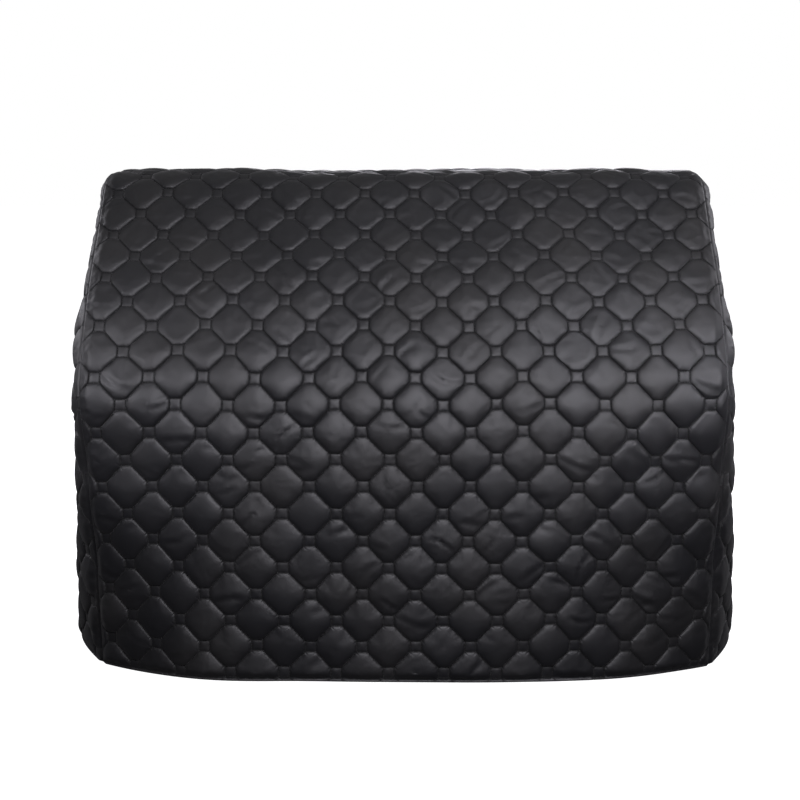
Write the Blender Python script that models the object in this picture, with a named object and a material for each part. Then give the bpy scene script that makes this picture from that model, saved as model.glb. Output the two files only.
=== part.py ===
"""Quilted fitted cover for an upright piano, as it hangs over the instrument.

Frame: +X to the player's right, +Y towards the wall behind the piano, +Z up.
The origin is under the middle of the cover's top, where the piano's lid carries it.
Three pieces of quilted cloth: one strip over front, slope, top and back, and two side panels.
Each piece is laid out flat, with the stitched pattern of squares and eight-sided cells,
and every point is then carried onto the shape in which the cloth hangs.
"""
import math
from collections import namedtuple

import bpy
from mathutils import Vector
from mathutils.geometry import delaunay_2d_cdt

# Driving dimensions, in metres.
STRIP_WIDTH = 1.51
PITCH_ACROSS = 0.124
PITCH_ALONG = 0.126
SQUARE_SIDE = 0.022
CLOTH_THICKNESS = 0.0025
CELL_CROWN = 0.011
SEAM_GAP = 0.0005

# Along the strip, counted in rows of squares; each row is half a pitch from the next.
ROW_STEP = PITCH_ALONG / 2
FIRST_ROW = 0.023
KEYBED_ROW = 11
LID_FRONT_ROW = 20
LID_BACK_ROW = 25
LATTICE_SHIFT = -0.0325
SIDE_LATTICE_SHIFT = 0.018

# The front drop and its lower corners.
LID_DEPTH = (LID_BACK_ROW - LID_FRONT_ROW) * ROW_STEP
BOW_START = 0.30
BOW_AT_HEM = 0.118
RIGHT_BOW_SHARE = 0.86
LID_EASE = 0.035
ROW_SAG = 0.018
SAG_ENDS_ROW = 11
SAG_FULL_ROW = 7
WAVE_HEIGHT = 0.004
WAVE_FADE = 0.15
MERGE_DISTANCE = 1e-5
LEVEL_SLACK = 0.0005

# The slope from the keyboard's front edge up to the lid: leaning of each row step, from upright.
SlopeStep = namedtuple("SlopeStep", "row lean_degrees")
SLOPE = [
    SlopeStep(12, 27), SlopeStep(13, 30), SlopeStep(14, 29), SlopeStep(15, 34), SlopeStep(16, 40),
    SlopeStep(17, 42), SlopeStep(18, 36), SlopeStep(19, 37), SlopeStep(20, 36),
]

# How the corners hang, at heights below the lid: the share of the bow, how far the side panel swells
# or flares past the seam, and how far back along the side that flare has its ridge.
CornerStation = namedtuple("CornerStation", "drop bow flare ridge")
CORNER_STATIONS = [
    CornerStation(0.00, 0.00, 0.024, 0.42),
    CornerStation(0.28, 0.06, 0.026, 0.28),
    CornerStation(0.39, 0.14, 0.036, 0.14),
    CornerStation(0.47, 0.24, 0.028, 0.12),
    CornerStation(0.72, 0.84, 0.055, 0.14),
    CornerStation(0.95, 0.93, 0.079, 0.32),
    CornerStation(1.18, 1.00, 0.100, 0.47),
]

ONLY_INSIDE = 1

# Slow unevenness of the hanging cloth: one wave for each row.
Wave = namedtuple("Wave", "across along phase share")
WAVES = [
    Wave(2.3, 1.1, 0.4, 0.50),
    Wave(-3.7, 2.9, 2.1, 0.30),
    Wave(6.1, 4.3, 4.0, 0.20),
]

CLOTH_COLOUR = (0.012, 0.012, 0.013, 1.0)
CLOTH_ROUGHNESS = 0.45


def clear_scene():
    for old in list(bpy.data.objects):
        bpy.data.objects.remove(old, do_unlink=True)


def cloth_material(name):
    material = bpy.data.materials.new(name)
    material.use_nodes = True
    shader = material.node_tree.nodes["Principled BSDF"]
    shader.inputs["Base Color"].default_value = CLOTH_COLOUR
    shader.inputs["Roughness"].default_value = CLOTH_ROUGHNESS
    shader.inputs["Metallic"].default_value = 0.0
    return material


def blend(low, high, share):
    return low + (high - low) * share


def smooth(share):
    share = min(max(share, 0.0), 1.0)
    return share * share * (3 - 2 * share)


def row_place(row):
    """Distance from the front hem, along the cloth, to a row of squares."""
    return FIRST_ROW + row * ROW_STEP


# The strip's middle line.

def middle_line():
    """Knots of the strip's inner face at its middle: (distance along, y, z), joined by straight runs."""
    keybed_to_lid = []
    y, z = 0.0, 0.0
    for step in reversed(SLOPE):
        keybed_to_lid.append((step.row, y, z))
        lean = math.radians(step.lean_degrees)
        y -= ROW_STEP * math.sin(lean)
        z -= ROW_STEP * math.cos(lean)
    lid_front = -LID_DEPTH / 2
    lid_back = LID_DEPTH / 2
    hem_height = z - row_place(KEYBED_ROW)

    knots = [(0.0, lid_front + y, hem_height)]
    for row in range(KEYBED_ROW + 1):
        knots.append((row_place(row), lid_front + y, hem_height + row_place(row)))
    for row, row_y, row_z in reversed(keybed_to_lid):
        knots.append((row_place(row), lid_front + row_y, row_z))
    for row in range(LID_FRONT_ROW + 1, LID_BACK_ROW + 1):
        knots.append((row_place(row), lid_front + (row - LID_FRONT_ROW) * ROW_STEP, 0.0))
    back_start = row_place(LID_BACK_ROW)
    last = back_start - hem_height
    row = LID_BACK_ROW + 1
    while row_place(row) < last - SQUARE_SIDE / 2:
        knots.append((row_place(row), lid_back, back_start - row_place(row)))
        row += 1
    knots.append((last, lid_back, hem_height))
    return rounded_folds(knots)


def rounded_folds(knots):
    """Adds a knot half a square before and after each fold over the lid and draws the fold's own knot in."""
    result = []
    half = SQUARE_SIDE / 2
    folds = (row_place(LID_FRONT_ROW), row_place(LID_BACK_ROW))
    for index, knot in enumerate(knots):
        if not any(abs(knot[0] - fold) < half / 2 for fold in folds):
            result.append(knot)
            continue
        before = step_towards(knot, knots[index - 1], half)
        after = step_towards(knot, knots[index + 1], half)
        middle = [(before[axis] + after[axis]) / 2 for axis in range(3)]
        drawn_in = tuple(blend(knot[axis], middle[axis], 0.5) for axis in range(3))
        result.extend([before, drawn_in, after])
    return result


def step_towards(knot, other, distance):
    span = abs(other[0] - knot[0])
    return tuple(blend(knot[axis], other[axis], distance / span) for axis in range(3))


KNOTS = middle_line()
STRIP_LENGTH = KNOTS[-1][0]
BACK_START = row_place(LID_BACK_ROW)


def corner_station(drop):
    """The three shares of CORNER_STATIONS at any height below the lid."""
    drop = min(max(drop, CORNER_STATIONS[0].drop), CORNER_STATIONS[-1].drop)
    for above, below in zip(CORNER_STATIONS, CORNER_STATIONS[1:]):
        if drop <= below.drop:
            break
    share = smooth((drop - above.drop) / (below.drop - above.drop))
    return [blend(above[field], below[field], share) for field in (1, 2, 3)]


def bowed(across, bow):
    """Turns a distance across the cloth into (x, set back) where its outer parts curve backwards."""
    reach = STRIP_WIDTH / 2 - BOW_START
    outer = max(abs(across) - BOW_START, 0.0)
    set_back = bow * (outer / reach) ** 2
    shortening = 2 * bow ** 2 * outer ** 3 / (3 * reach ** 4)
    return math.copysign(abs(across) - shortening, across), set_back


def swell(across, along):
    """Slow waves, which die out towards the strip's edges."""
    edge_share = smooth((STRIP_WIDTH / 2 - abs(across)) / WAVE_FADE)
    height = sum(
        wave.share * math.sin(wave.across * across * math.pi + wave.along * along * math.pi + wave.phase)
        for wave in WAVES
    )
    return WAVE_HEIGHT * edge_share * height


def strip_at_knot(across, knot):
    along, y, z = knot
    on_back = along > BACK_START
    bow = 0.0 if on_back else BOW_AT_HEM * corner_station(-z)[0]
    if across > 0:
        bow *= RIGHT_BOW_SHARE
    x, set_back = bowed(across, bow)
    return Vector((x, y + set_back, z))


def strip_point(across, along):
    """A point of the strip's inner face as it hangs, straight between two knots."""
    along = min(max(along, 0.0), STRIP_LENGTH)
    for low, high in zip(KNOTS, KNOTS[1:]):
        if along <= high[0]:
            break
    share = (along - low[0]) / (high[0] - low[0])
    return strip_at_knot(across, low).lerp(strip_at_knot(across, high), share)


def strip_outward(across, along):
    """The strip's outward direction, averaged over a square's width so that it turns gently at folds."""
    reach = SQUARE_SIDE / 2
    edge = STRIP_WIDTH / 2
    right = strip_point(min(across + reach, edge), along) - strip_point(max(across - reach, -edge), along)
    up = strip_point(across, along + reach) - strip_point(across, along - reach)
    return right.cross(up).normalized()


def sagging(across, along):
    """Where a point of the stitched pattern lies once its rows have sagged at the lower corners."""
    outer = max(abs(across) - BOW_START, 0.0) / (STRIP_WIDTH / 2 - BOW_START)
    rows_up = (along - row_place(SAG_FULL_ROW)) / (row_place(SAG_ENDS_ROW) - row_place(SAG_FULL_ROW))
    return across, along - ROW_SAG * outer ** 2 * (1 - smooth(rows_up))


def strip_surface(across, along, height):
    base = strip_point(across, along)
    outward = strip_outward(across, along)
    return base + outward * (height + swell(across, along))


# The side panels, each as a surface over (y, z).

HEM_HEIGHT = KNOTS[0][2]


def edge_line(hand):
    """The strip's edge as the side panel's outline: (y, z, reach) at every knot, moved in by the seam gap."""
    points = [strip_at_knot(hand * STRIP_WIDTH / 2, knot) for knot in KNOTS]
    outline = []
    for index, point in enumerate(points):
        before = points[max(index - 1, 0)]
        after = points[min(index + 1, len(points) - 1)]
        run = Vector((after.y - before.y, after.z - before.z)).normalized()
        inward = Vector((run.y, -run.x))
        moved = Vector((point.y, point.z)) + inward * SEAM_GAP
        outline.append((moved.x, moved.y, abs(point.x)))
    return outline


def crossing(line, height):
    """Where a run of the outline passes a height: (y, reach)."""
    for (y_a, z_a, reach_a), (y_b, z_b, reach_b) in zip(line, line[1:]):
        low, high = min(z_a, z_b), max(z_a, z_b)
        if low <= height <= high and high > low:
            share = (height - z_a) / (z_b - z_a)
            return blend(y_a, y_b, share), blend(reach_a, reach_b, share)
    nearest = min(line, key=lambda place: abs(place[1] - height))
    return nearest[0], nearest[2]


class SidePanel:
    """One side panel; hand is 1 for the right side and -1 for the left."""

    def __init__(self, hand):
        self.hand = hand
        self.edge = edge_line(hand)
        heights = [place[1] for place in self.edge]
        level = max(heights) - LEVEL_SLACK
        first = min(index for index, height in enumerate(heights) if height > level)
        last = max(index for index, height in enumerate(heights) if height > level)
        self.front = self.edge[:first + 1]
        self.back = self.edge[last:]

    def outline(self):
        """The outline in (y, z), turning the same way as the strip's."""
        return [(y, z) for y, z, _ in reversed(self.edge)]

    def face_point(self, y, z):
        """The outer face, measured out from the middle of the piano."""
        front_y, front_reach = crossing(self.front, z)
        back_y, back_reach = crossing(self.back, z)
        share = min(max((y - front_y) / (back_y - front_y), 0.0), 1.0)
        _, flare, ridge = corner_station(-z)
        if share < ridge:
            bulge = math.sin(math.pi / 2 * share / ridge)
        else:
            bulge = math.cos(math.pi / 2 * (share - ridge) / (1 - ridge))
        reach = blend(front_reach, back_reach, share) + flare * bulge * smooth(-z / LID_EASE)
        return Vector((reach, y, z))

    def outward(self, y, z):
        half = SQUARE_SIDE / 2
        back = self.face_point(y + half, z) - self.face_point(y - half, z)
        up = self.face_point(y, z + half) - self.face_point(y, z - half)
        return back.cross(up).normalized()

    def surface(self, y, z, height):
        """At height CLOTH_THICKNESS the face is flush with the strip's edge at the seam."""
        point = self.face_point(y, z) + self.outward(y, z) * (height - CLOTH_THICKNESS)
        return Vector((point.x * self.hand, point.y, point.z))


# The stitched pattern on flat cloth.

def square_centres(left, right, bottom, top, shift, first_row):
    """Centres of the small stitched squares over a region, in staggered rows."""
    row = math.floor((bottom - first_row) / ROW_STEP) - 1
    while first_row + row * ROW_STEP < top + PITCH_ALONG:
        offset = shift + (PITCH_ACROSS / 2 if row % 2 else 0.0)
        column = math.floor((left - offset) / PITCH_ACROSS) - 1
        while offset + column * PITCH_ACROSS < right + PITCH_ACROSS:
            yield offset + column * PITCH_ACROSS, first_row + row * ROW_STEP
            column += 1
        row += 1


def cell_corners(centre_x, centre_y):
    """The eight corners of the cell between two squares of a row."""
    half = SQUARE_SIDE / 2
    wide = PITCH_ACROSS / 2 - half
    tall = PITCH_ALONG / 2 - half
    around = [(wide, half), (half, tall), (-half, tall), (-wide, half)]
    around += [(-x, -y) for x, y in around]
    return [(centre_x + x, centre_y + y) for x, y in around]


def inside(point, outline):
    x, y = point
    result = False
    for (x_a, y_a), (x_b, y_b) in zip(outline, outline[1:] + outline[:1]):
        if (y_a > y) != (y_b > y) and x < x_a + (y - y_a) * (x_b - x_a) / (y_b - y_a):
            result = not result
    return result


def middle_of(points):
    return [sum(values) / len(points) for values in zip(*points)]


def distance_to_outline(point, outline):
    nearest = math.inf
    spot = Vector(point)
    for start, end in zip(outline, outline[1:] + outline[:1]):
        start, end = Vector(start), Vector(end)
        run = end - start
        share = min(max((spot - start).dot(run) / run.length_squared, 0.0), 1.0)
        nearest = min(nearest, (start + run * share - spot).length)
    return nearest


class FlatMesh:
    """Points and edges of flat cloth, to be cut into triangles inside an outline."""

    def __init__(self, outline):
        self.points = [Vector(point) for point in outline]
        count = len(outline)
        self.edges = [(index, (index + 1) % count) for index in range(count)]
        self.ring = list(range(count))
        self.known = {}

    def point(self, place):
        key = (round(place[0], 6), round(place[1], 6))
        if key not in self.known:
            self.known[key] = len(self.points)
            self.points.append(Vector(place))
        return self.known[key]

    def loop(self, places):
        numbers = [self.point(place) for place in places]
        for start, end in zip(numbers, numbers[1:] + numbers[:1]):
            self.edges.append((start, end))

    def triangles(self):
        """The points, the triangles, and which of the given points each point stands for."""
        points, _, faces, origins, _, _ = delaunay_2d_cdt(
            self.points, self.edges, [self.ring], ONLY_INSIDE, MERGE_DISTANCE)
        outline = [tuple(self.points[corner]) for corner in self.ring]
        faces = [face for face in faces if inside(middle_of([points[corner] for corner in face]), outline)]
        used = sorted({corner for face in faces for corner in face})
        place = {old: new for new, old in enumerate(used)}
        faces = [[place[corner] for corner in face] for face in faces]
        return [points[old] for old in used], faces, [origins[old] for old in used]


def boundary_loop(faces):
    """The corners around the outside of a set of triangles, in order."""
    following = {}
    sides = {(a, b) for face in faces for a, b in zip(face, face[1:] + face[:1])}
    for start, end in sides:
        if (end, start) not in sides:
            following[start] = end
    first = min(following)
    loop = [first]
    while following[loop[-1]] != first:
        loop.append(following[loop[-1]])
    return loop


def quilted_face(outline, shift, first_row, settle):
    """The outer face: stitched lines as edges, and a raised middle in each cell."""
    flat = FlatMesh(outline)
    xs = [point[0] for point in outline]
    ys = [point[1] for point in outline]
    centres = list(square_centres(min(xs), max(xs), min(ys), max(ys), shift, first_row))
    raised = set()
    for x, y in centres:
        cell_x = x + PITCH_ACROSS / 2
        corners = [settle(*corner) for corner in cell_corners(cell_x, y)]
        if not any(inside(corner, outline) for corner in corners):
            continue
        flat.loop(corners)
        middle = settle(cell_x, y)
        if inside(middle, outline) and distance_to_outline(middle, outline) > SQUARE_SIDE / 2:
            raised.add(flat.point(middle))
    points, faces, origins = flat.triangles()
    crowns = [CELL_CROWN if raised.intersection(given) else 0.0 for given in origins]
    heights = [CLOTH_THICKNESS + crown for crown in crowns]
    return points, faces, heights, [settle(*centre) for centre in centres]


def plain_face(ring, centres):
    """The inner face: a point under each square and the same outer ring."""
    flat = FlatMesh(ring)
    for centre in centres:
        if inside(centre, ring) and distance_to_outline(centre, ring) > SQUARE_SIDE:
            flat.point(centre)
    points, faces, _ = flat.triangles()
    return points, faces


def quilted_piece(name, outline, pattern, surface, mirrored):
    """One closed piece of quilted cloth: outer face, inner face and the rim between them.

    pattern holds the lattice's shift, its first row and how it settles on this piece.
    """
    outer, outer_faces, heights, centres = quilted_face(outline, *pattern)
    ring = boundary_loop(outer_faces)
    inner, inner_faces = plain_face([tuple(outer[corner]) for corner in ring], centres)
    corners = [surface(point.x, point.y, height) for point, height in zip(outer, heights)]
    first_inner = len(corners)
    corners += [surface(point.x, point.y, 0.0) for point in inner]
    inner_ring = [nearest_point(inner, outer[corner]) + first_inner for corner in ring]
    faces = [tuple(face) for face in outer_faces]
    faces += [tuple(first_inner + corner for corner in reversed(face)) for face in inner_faces]
    for index, corner in enumerate(ring):
        following = (index + 1) % len(ring)
        low, high = inner_ring[index], inner_ring[following]
        faces.append((ring[following], corner, low))
        faces.append((ring[following], low, high))
    if mirrored:
        faces = [tuple(reversed(face)) for face in faces]
    mesh = bpy.data.meshes.new(name)
    mesh.from_pydata([tuple(corner) for corner in corners], [], faces)
    mesh.validate()
    mesh.materials.append(cloth_material(name + "_cloth"))
    piece = bpy.data.objects.new(name, mesh)
    bpy.context.collection.objects.link(piece)
    print(name, len(mesh.polygons), "triangles")
    return piece


def nearest_point(points, place):
    return min(range(len(points)), key=lambda index: (points[index] - place).length_squared)


def strip_outline():
    half = STRIP_WIDTH / 2
    rising = [(half, knot[0]) for knot in KNOTS]
    falling = [(-half, knot[0]) for knot in reversed(KNOTS)]
    return rising + falling


def unmoved(x, y):
    return x, y


def main():
    clear_scene()
    quilted_piece("main_panel", strip_outline(), (LATTICE_SHIFT, FIRST_ROW, sagging), strip_surface, False)
    side_pattern = (SIDE_LATTICE_SHIFT, HEM_HEIGHT + FIRST_ROW, unmoved)
    for name, hand in (("side_right", 1), ("side_left", -1)):
        panel = SidePanel(hand)
        quilted_piece(name, panel.outline(), side_pattern, panel.surface, hand < 0)


main()
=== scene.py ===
# %% [markdown]
# # A quilted cover for an upright piano
#
# The cover is sewn from three pieces of black quilted cloth: one long strip that runs up the front,
# over the keyboard slope and the lid and down the back, and a panel at each end. The quilting is a
# pattern of small stitched squares in staggered rows, whose corners are joined by slanting lines of
# stitches. Between the lines the filling lifts the cloth into eight-sided pillows.
#
# This script dresses the finished frame of the cover. It lays each piece out flat, as a maker would,
# gives it its pillows, hem and seams there, and then carries every point onto the shape in which the
# cloth hangs. A flat layout keeps the pattern true, however the cloth is draped afterwards.

# %% Load the frame
import math

import bpy
import numpy as np
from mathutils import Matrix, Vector
from mathutils.geometry import delaunay_2d_cdt


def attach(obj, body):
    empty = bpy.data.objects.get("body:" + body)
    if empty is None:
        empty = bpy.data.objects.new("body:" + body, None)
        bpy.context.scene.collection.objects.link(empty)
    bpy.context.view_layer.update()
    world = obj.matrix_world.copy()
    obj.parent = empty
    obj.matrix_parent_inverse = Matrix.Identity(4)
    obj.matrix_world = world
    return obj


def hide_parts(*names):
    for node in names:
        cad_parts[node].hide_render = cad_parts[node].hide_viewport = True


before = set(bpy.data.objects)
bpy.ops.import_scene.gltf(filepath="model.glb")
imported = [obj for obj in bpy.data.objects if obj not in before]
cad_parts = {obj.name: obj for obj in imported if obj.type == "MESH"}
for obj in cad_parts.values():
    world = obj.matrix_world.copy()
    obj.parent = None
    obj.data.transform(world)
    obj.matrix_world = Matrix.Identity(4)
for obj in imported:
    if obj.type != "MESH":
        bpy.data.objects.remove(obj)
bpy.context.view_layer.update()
print("nodes of the frame:", sorted(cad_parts))

# %% [markdown]
# ## Sizes
#
# Every size is in metres and has a name. A few of them drive all the rest: the width of the cloth, the
# pitch of the stitched pattern, and how steeply the cloth leans on its way from the keyboard up to the
# lid. The origin is under the middle of the top, where the piano's lid carries the cover.

# %% Sizes of the cloth and its pattern
STRIP_WIDTH = 1.51
PITCH_ACROSS = 0.124
PITCH_ALONG = 0.126
SQUARE_SIDE = 0.025
CLOTH_THICKNESS = 0.0025
CELL_CROWN = 0.0102
SQUARE_CROWN = 0.0022
SIDE_CROWN = 0.0085
TAUT_FLATTENING = 0.14

ROW_STEP = PITCH_ALONG / 2
FIRST_ROW = 0.023
KEYBED_ROW = 11
LID_FRONT_ROW = 20
LID_BACK_ROW = 25
# Sideways shift of the pattern on the strip and on the side panels.
LATTICE_SHIFT = -0.0325
SIDE_LATTICE_SHIFT = 0.018
LID_DEPTH = (LID_BACK_ROW - LID_FRONT_ROW) * ROW_STEP
print("rows of squares are", ROW_STEP, "m apart; the lid is", round(LID_DEPTH, 3), "m deep")

# %% Sizes of the hang
# The front corners curve back from this far beside the middle, by this much at the hem.
BOW_START = 0.30
BOW_AT_HEM = 0.118
RIGHT_BOW_SHARE = 0.86
LID_EASE = 0.035
SIDE_SLACK = 0.006
LEFT_TOP_SHARE = 0.45
LEFT_TOP_REACH = 0.36
ROW_SAG = 0.018
SAG_ENDS_ROW = 11
SAG_FULL_ROW = 7
WAVE_HEIGHT = 0.005
WAVE_FADE = 0.15
FOLD_REACH = 0.058

# Leaning of each row step of the slope, in degrees from upright, from row 12 to the lid.
SLOPE_LEANS = (27, 30, 29, 34, 40, 42, 36, 37, 36)
# Leaning of the first row steps under the keyboard's edge, where the cloth swings out before it hangs.
DROP_LEANS = (12, 6)
HEM_DRAWN_IN = 0.009

# The corners at heights below the lid: drop, bow, flare, and how far back the flare has its ridge.
CORNER_STATIONS = np.array([
    (0.00, 0.00, 0.024, 0.42),
    (0.28, 0.06, 0.026, 0.28),
    (0.39, 0.08, 0.032, 0.14),
    (0.47, 0.12, 0.021, 0.12),
    (0.72, 0.60, 0.042, 0.14),
    (0.95, 0.90, 0.079, 0.32),
    (1.18, 1.00, 0.100, 0.47),
])
# Slow unevenness: turns across, turns along, phase and share of each wave.
SLOW_WAVES = ((2.3, 1.1, 0.4, 0.50), (-3.7, 2.9, 2.1, 0.30), (6.1, 4.3, 4.0, 0.20))


def smooth(share):
    """A share from 0 to 1 that starts and ends gently."""
    share = np.clip(share, 0.0, 1.0)
    return share * share * (3 - 2 * share)


def row_place(row):
    """How far a row of squares lies from the front hem, along the strip."""
    return FIRST_ROW + row * ROW_STEP


print("the keyboard's edge is at", round(row_place(KEYBED_ROW), 3), "m and the lid at",
      round(row_place(LID_FRONT_ROW), 3), "m along the strip")

# %% [markdown]
# ## The line that the strip follows
#
# Seen from the side, the strip is one line: up from the hem, back over the slope, level over the lid
# and down the back. It could be drawn as a spline by hand, but then the rows of stitches would drift
# from where they belong. Here each row of stitches is a knot, and each step from row to row leans by a
# stated angle. Filled cloth doesn't turn a corner sharply: it swings out a little under the keyboard's
# edge before it hangs, and an average over a short reach rounds every fold.

# %% The strip's middle line
def middle_line():
    """Knots (distance along, y, z), from the front hem to the back hem."""
    rows = [(LID_FRONT_ROW, 0.0, 0.0)]
    for lean in (*reversed(SLOPE_LEANS), *DROP_LEANS):
        row, y, z = rows[-1]
        angle = math.radians(lean)
        rows.append((row - 1, y - ROW_STEP * math.sin(angle), z - ROW_STEP * math.cos(angle)))
    keybed_z = rows[len(SLOPE_LEANS)][2]
    front = -LID_DEPTH / 2
    hem_z = keybed_z - row_place(KEYBED_ROW)
    knots = [(0.0, front + rows[-1][1] + HEM_DRAWN_IN, hem_z)]
    knots += [(row_place(row), front + y, z) for row, y, z in reversed(rows)]
    knots.append((row_place(LID_BACK_ROW), -front, 0.0))
    knots.append((row_place(LID_BACK_ROW) - hem_z, -front, hem_z))
    return np.array(knots)


KNOTS = middle_line()
STRIP_LENGTH = KNOTS[-1, 0]
BACK_START = row_place(LID_BACK_ROW)
HEM_HEIGHT = KNOTS[0, 2]
LINE_STEP = 0.002


def rounded_line(knots, reach):
    """The line as columns (along, y, z) in short steps, each point averaged over a reach both ways."""
    spread = round(reach / LINE_STEP)
    margin = (spread + 1) * LINE_STEP
    before = knots[0] - (knots[1] - knots[0]) * margin / (knots[1, 0] - knots[0, 0])
    after = knots[-1] + (knots[-1] - knots[-2]) * margin / (knots[-1, 0] - knots[-2, 0])
    longer = np.vstack([before, knots, after])
    along = np.arange(-spread, round(knots[-1, 0] / LINE_STEP) + spread + 1) * LINE_STEP
    kernel = np.full(2 * spread + 1, 1 / (2 * spread + 1))
    columns = [np.interp(along, longer[:, 0], longer[:, axis]) for axis in range(3)]
    return [np.convolve(column, kernel, mode="valid") for column in columns]


LINE_ALONG, LINE_Y, LINE_Z = rounded_line(KNOTS, FOLD_REACH)
print("the strip is", round(STRIP_LENGTH, 3), "m long and its hem hangs at", round(HEM_HEIGHT, 3))

# %% [markdown]
# ## The hanging shape of the strip
#
# Near the floor the strip's outer parts curve back round the piano's legs, and low waves run through
# the whole cloth. Each rule below takes arrays of flat places, so numpy works out all the points of a
# piece at once. That matters here, with some hundred thousand of them.

# %% The strip as it hangs
SEAM_TURN = 0.004
# Shorter than any length that matters; it keeps divisions safe.
TINY = 1e-9


def corner_values(height):
    """Bow, flare and ridge at heights (at or below zero)."""
    drop = np.clip(-height, 0.0, CORNER_STATIONS[-1, 0])
    span = np.clip(np.searchsorted(CORNER_STATIONS[:, 0], drop) - 1, 0, len(CORNER_STATIONS) - 2)
    above, below = CORNER_STATIONS[span], CORNER_STATIONS[span + 1]
    share = smooth((drop - above[:, 0]) / (below[:, 0] - above[:, 0]))[:, None]
    return (above + (below - above) * share)[:, 1:].T


def strip_base(across, along):
    """Points of the strip's inner face as it hangs."""
    y = np.interp(along, LINE_ALONG, LINE_Y)
    z = np.interp(along, LINE_ALONG, LINE_Z)
    bow = BOW_AT_HEM * corner_values(z)[0]
    bow = np.where(along > BACK_START, 0.0, bow) * np.where(across > 0, RIGHT_BOW_SHARE, 1.0)
    reach = STRIP_WIDTH / 2 - BOW_START
    outer = np.maximum(np.abs(across) - BOW_START, 0.0)
    shortening = 2 * bow ** 2 * outer ** 3 / (3 * reach ** 4)
    x = np.sign(across) * (np.abs(across) - shortening)
    return np.stack([x, y + bow * (outer / reach) ** 2, z], axis=1)


def unit(vectors):
    """The same directions with length 1."""
    return vectors / np.maximum(np.linalg.norm(vectors, axis=1, keepdims=True), TINY)


def strip_surface(across, along, height):
    """Points at heights over the strip's inner face; the seams take a little of its width."""
    half = SQUARE_SIDE / 2
    edge = STRIP_WIDTH / 2
    across = across * (1 - SEAM_TURN / edge)
    right = strip_base(np.minimum(across + half, edge), along)
    right = right - strip_base(np.maximum(across - half, -edge), along)
    up = strip_base(across, np.minimum(along + half, STRIP_LENGTH))
    up = up - strip_base(across, np.maximum(along - half, 0.0))
    outward = unit(np.cross(right, up))
    fade = smooth((edge - np.abs(across)) / WAVE_FADE)
    wave = sum(
        share * np.sin(math.pi * (turns_x * across + turns_y * along) + phase)
        for turns_x, turns_y, phase, share in SLOW_WAVES
    )
    return strip_base(across, along) + outward * (height + WAVE_HEIGHT * fade * wave)[:, None]


def sagging(across, along):
    """Where the pattern lies once its rows have sagged at the lower corners."""
    outer = np.maximum(np.abs(across) - BOW_START, 0.0) / (STRIP_WIDTH / 2 - BOW_START)
    rows_up = (along - row_place(SAG_FULL_ROW)) / (row_place(SAG_ENDS_ROW) - row_place(SAG_FULL_ROW))
    return across, along - ROW_SAG * outer ** 2 * (1 - smooth(rows_up))


corner = strip_base(np.array([STRIP_WIDTH / 2]), np.zeros(1))[0]
print("the hem's right corner hangs at", corner.round(3))

# %% [markdown]
# ## The hanging shape of the side panels
#
# A side panel is sewn to the strip's edge all the way round, so it takes its outline from that edge.
# Between the front seam and the back seam its cloth swells outwards, most of all near the floor, where
# the cover flares. The swell rises to a ridge and falls again, each on a quarter of a sine wave.

# %% The side panels as they hang
OUTLINE_POINTS = 465
JUST_UNDER_LID = -0.0004


class SidePanel:
    """One side panel; hand is 1 for the right side and -1 for the left. Flat places are (y, z)."""

    def __init__(self, hand):
        self.hand = hand
        places = np.linspace(0.0, STRIP_LENGTH, OUTLINE_POINTS)
        edge = strip_base(np.full_like(places, hand * STRIP_WIDTH / 2), places)
        middle = row_place((LID_FRONT_ROW + LID_BACK_ROW) / 2)
        self.outline = edge[::-1, 1:]
        self.front = edge[places < middle]
        self.back = edge[places > middle][::-1]

    def face(self, y, z):
        """Points of the panel's face, on the right side; the surface mirrors them for the left one."""
        z = np.clip(z, HEM_HEIGHT, JUST_UNDER_LID)
        front_y = np.interp(z, self.front[:, 2], self.front[:, 1])
        front_reach = np.interp(z, self.front[:, 2], np.abs(self.front[:, 0]))
        back_y = np.interp(z, self.back[:, 2], self.back[:, 1])
        back_reach = np.interp(z, self.back[:, 2], np.abs(self.back[:, 0]))
        share = np.clip((y - front_y) / (back_y - front_y), 0.0, 1.0)
        _, flare, ridge = corner_values(z)
        if self.hand < 0:
            flare = flare * (LEFT_TOP_SHARE + (1 - LEFT_TOP_SHARE) * smooth(-z / LEFT_TOP_REACH))
        rising = np.sin(math.pi / 2 * np.minimum(share / ridge, 1.0))
        falling = np.cos(math.pi / 2 * np.maximum((share - ridge) / (1 - ridge), 0.0))
        bulge = np.where(share < ridge, rising, falling)
        reach = front_reach + (back_reach - front_reach) * share + flare * bulge * smooth(-z / LID_EASE)
        return np.stack([reach - SIDE_SLACK * bulge, y, z], axis=1)

    def surface(self, y, z, height):
        """Points at heights over the inner face; at CLOTH_THICKNESS they are flush with the strip's edge."""
        half = SQUARE_SIDE / 2
        back = self.face(y + half, z) - self.face(y - half, z)
        up = self.face(y, z + half) - self.face(y, z - half)
        outward = unit(np.cross(back, up))
        points = self.face(y, z) + outward * (height - CLOTH_THICKNESS)[:, None]
        points[:, 0] *= self.hand
        return points


LEFT = SidePanel(-1)
RIGHT = SidePanel(1)
print("points round a side panel:", len(RIGHT.outline))

# %% [markdown]
# ## One pillow of the quilting
#
# The pattern repeats, so one eight-sided pillow and one small square are cut into triangles once and
# then copied to every place. Their points lie on the stitched lines and in rings inside them, close
# together where the cloth rises steeply from a stitch and further apart on the broad crown. A plain
# grid pushed up by a texture would blur those lines: cloth held by a stitch has a sharp valley.
#
# The pillow's rise comes from its distance to each stitched line. The distances are joined so that the
# line which is nearest counts most, which gives a rounded crown without ridges along its diagonals.

# %% The outlines of pillow and square
BOUNDARY_STEP = 0.0075
NEAREST_POWER = 4.0


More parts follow.
